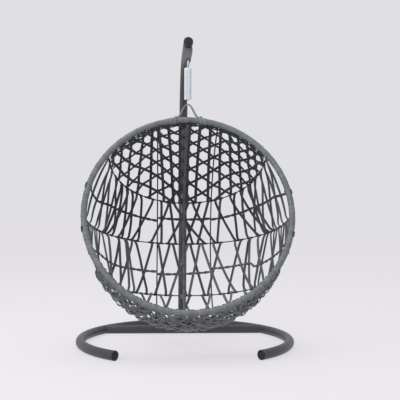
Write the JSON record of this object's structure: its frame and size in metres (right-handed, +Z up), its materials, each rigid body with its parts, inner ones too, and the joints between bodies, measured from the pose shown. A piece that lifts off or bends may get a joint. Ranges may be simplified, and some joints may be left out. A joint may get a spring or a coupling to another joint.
{
  "type": "hanging egg chair",
  "caption": "Hanging egg chair: a round-mouthed open wicker basket hung by a bail and spring from a curved post on a C-shaped floor stand.",
  "frame": {"origin": "on the floor, below the middle of the chair's bounding box", "axes": "+Z up, +Y from the basket's mouth to the post behind it, +X to the right of someone who faces the mouth"},
  "size_m": [1.1044, 1.1005, 1.5342],
  "materials": {
    "stand_paint": "satin",
    "plate_paint": "satin",
    "cap_plastic": "matte",
    "screw_steel": "satin",
    "zinc_spring": "satin",
    "clear_sleeve": "gloss",
    "bail_steel": "satin",
    "frame_paint": "satin",
    "rim_wicker": "satin",
    "weave_wicker": "satin"
  },
  "bodies": {
    "stand": {"base_left": "stand_paint", "base_right": "stand_paint", "base_middle": "stand_paint", "cross_tube": "stand_paint", "cross_plug_left": "stand_paint", "cross_plug_right": "stand_paint", "post_lower": "stand_paint", "post_upper": "stand_paint", "hook_plate": "plate_paint", "foot_cap_left": "cap_plastic", "foot_cap_right": "cap_plastic", "arm_cap": "cap_plastic", "base_screw_left": "screw_steel", "base_screw_right": "screw_steel", "cross_screw_left": "screw_steel", "cross_screw_right": "screw_steel", "post_screw_1": "screw_steel", "post_screw_2": "screw_steel"},
    "top_hook": {"upper_hook": "zinc_spring"},
    "spring": {"spring_coil": "zinc_spring", "spring_sleeve": "clear_sleeve"},
    "spring_end": {"lower_hook": "zinc_spring"},
    "basket": {"rim_tube": "frame_paint", "rim_winding": "rim_wicker", "bail": "bail_steel", "hood_hoop": "frame_paint", "back_hoop": "frame_paint", "seat_hoop": "frame_paint", "rib_left": "frame_paint", "rib_middle": "frame_paint", "rib_right": "frame_paint", "rib_binding": "rim_wicker", "hood_weave": "weave_wicker", "upper_back_weave": "weave_wicker", "lower_back_weave": "weave_wicker", "seat_weave": "weave_wicker", "upper_twine": "weave_wicker", "lower_twine": "weave_wicker"}
  },
  "joints": [
    {"name": "sway", "type": "hinge", "parent": "stand", "child": "top_hook", "pos_m": [0, -0.141, 1.42159], "axis": [0, 1, 0], "range_deg": [-8, 8]},
    {"name": "twist", "type": "hinge", "parent": "top_hook", "child": "spring", "pos_m": [0, -0.141, 1.387], "axis": [0, 0, 1], "range_deg": [-25, 25], "stiffness_Nm_per_rad": 1.5},
    {"name": "stretch", "type": "slide", "parent": "spring", "child": "spring_end", "axis": [0, 0, -1], "range_m": [0, 0.05], "stiffness_N_per_m": 9000, "springref_m": -0.018, "deforming": ["spring_coil"]},
    {"name": "swing", "type": "hinge", "parent": "spring_end", "child": "basket", "pos_m": [0, -0.141, 1.206], "axis": [1, 0, 0], "range_deg": [-15, 8]}
  ]
}
